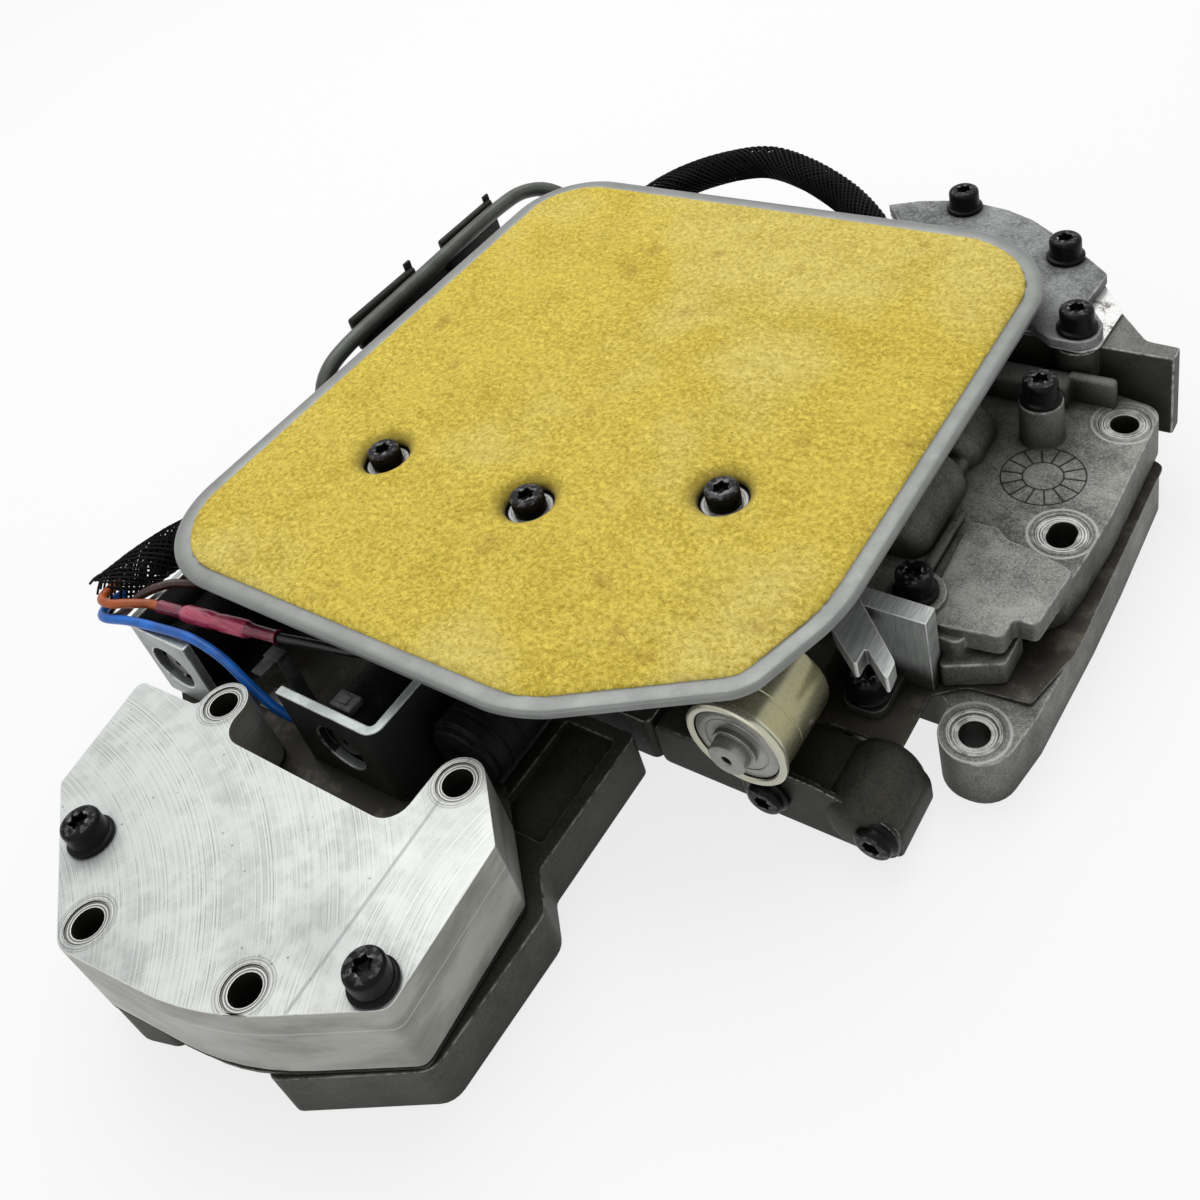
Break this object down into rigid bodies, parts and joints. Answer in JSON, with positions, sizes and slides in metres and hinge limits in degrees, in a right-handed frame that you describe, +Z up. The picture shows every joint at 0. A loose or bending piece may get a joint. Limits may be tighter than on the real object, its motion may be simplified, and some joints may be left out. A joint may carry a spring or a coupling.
{
  "type": "transmission valve body",
  "caption": "Hydraulic valve body with stacked castings, a felt oil filter, solenoids in strap frames, a milled cover block, screws and short cable runs.",
  "frame": {"origin": "on the plane it rests on, under the middle of the whole body", "axes": "+Z up through the oil filter, +X towards the transfer plate with the bolt boss, +Y from the milled cover block towards the rear cover"},
  "size_m": [0.2864, 0.3664, 0.0713],
  "materials": {
    "cast_aluminium": "grey sand-cast aluminium, worn bright on its edges",
    "milled_aluminium": "fly-cut aluminium with fine arcs",
    "dark_casting": "dark oily casting",
    "zinc_steel": "zinc plated sheet steel",
    "bright_steel": "bright steel",
    "dark_steel": "dark oiled steel sheet and tube",
    "black_steel": "black phosphated screws",
    "gasket_black": "black gasket",
    "felt_yellow": "yellow needle felt",
    "black_plastic": "black moulded plastic and braided sleeve",
    "wire_blue": "blue wire insulation",
    "wire_orange": "orange wire insulation",
    "wire_dark": "dark brown and black wire insulation",
    "splice_pink": "pink translucent crimp sleeve"
  },
  "bodies": {
    "housing": {"lower_housing": "cast_aluminium", "upper_housing": "cast_aluminium", "rear_housing": "cast_aluminium", "transfer_plate": "cast_aluminium", "accumulator_housing": "cast_aluminium", "rear_cover": "cast_aluminium", "cover_block": "milled_aluminium", "clamp_block": "milled_aluminium", "bore_housing": "dark_casting", "solenoid_frame_left": "zinc_steel", "solenoid_frame_right": "zinc_steel", "filter_pan": "zinc_steel", "filter_neck": "zinc_steel", "retaining_clip": "zinc_steel", "pressure_solenoid_can": "zinc_steel", "pressure_solenoid_end": "zinc_steel", "shim_plate": "bright_steel", "filter_washer_1": "bright_steel", "filter_washer_2": "bright_steel", "filter_washer_3": "bright_steel", "accumulator_spring": "bright_steel", "separator_plate": "dark_steel", "end_cover": "dark_steel", "oil_tube": "dark_steel", "tube_brace": "dark_steel", "filter_screw_1": "black_steel", "filter_screw_2": "black_steel", "filter_screw_3": "black_steel", "cover_screw_left": "black_steel", "cover_screw_right": "black_steel", "rear_cover_screw_1": "black_steel", "rear_cover_screw_2": "black_steel", "rear_cover_screw_3": "black_steel", "housing_screw_rear": "black_steel", "housing_screw_front": "black_steel", "end_cover_screw_1": "black_steel", "end_cover_screw_2": "black_steel", "clamp_screw": "black_steel", "cover_gasket": "gasket_black", "filter_felt": "felt_yellow", "solenoid_coil_left": "black_plastic", "solenoid_coil_right": "black_plastic", "lockup_solenoid": "black_plastic", "harness_sleeve": "black_plastic", "cable_sleeve": "black_plastic", "wire_blue": "wire_blue", "wire_orange": "wire_orange", "wire_brown": "wire_dark", "wire_black": "wire_dark", "crimp_splice": "splice_pink"},
    "accumulator": {"accumulator_piston": "bright_steel"},
    "plunger_left": {"solenoid_plunger_left": "bright_steel"},
    "plunger_right": {"solenoid_plunger_right": "bright_steel"},
    "spool": {"pressure_spool": "bright_steel"},
    "manual_valve_spool": {"manual_valve": "bright_steel"},
    "shift_valve_spool": {"shift_valve": "bright_steel"}
  },
  "joints": [
    {"name": "accumulator_slide", "type": "slide", "parent": "housing", "child": "accumulator", "axis": [0, 0, 1], "range_m": [0, 0.006], "stiffness_N_per_m": 2000, "springref_m": -0.003, "deforming": ["accumulator_spring"]},
    {"name": "plunger_left_slide", "type": "slide", "parent": "housing", "child": "plunger_left", "axis": [0, 1, 0], "range_m": [0, 0.0016], "stiffness_N_per_m": 600, "springref_m": -0.001},
    {"name": "plunger_right_slide", "type": "slide", "parent": "housing", "child": "plunger_right", "axis": [0, 1, 0], "range_m": [0, 0.0016], "stiffness_N_per_m": 600, "springref_m": -0.001},
    {"name": "pressure_spool_slide", "type": "slide", "parent": "housing", "child": "spool", "axis": [0, 1, 0], "range_m": [0, 0.002], "stiffness_N_per_m": 400, "springref_m": -0.001},
    {"name": "manual_valve_slide", "type": "slide", "parent": "housing", "child": "manual_valve_spool", "axis": [1, 0, 0], "range_m": [0, 0.016]},
    {"name": "shift_valve_slide", "type": "slide", "parent": "housing", "child": "shift_valve_spool", "axis": [1, 0, 0], "range_m": [0, 0.006], "stiffness_N_per_m": 400, "springref_m": -0.002}
  ]
}
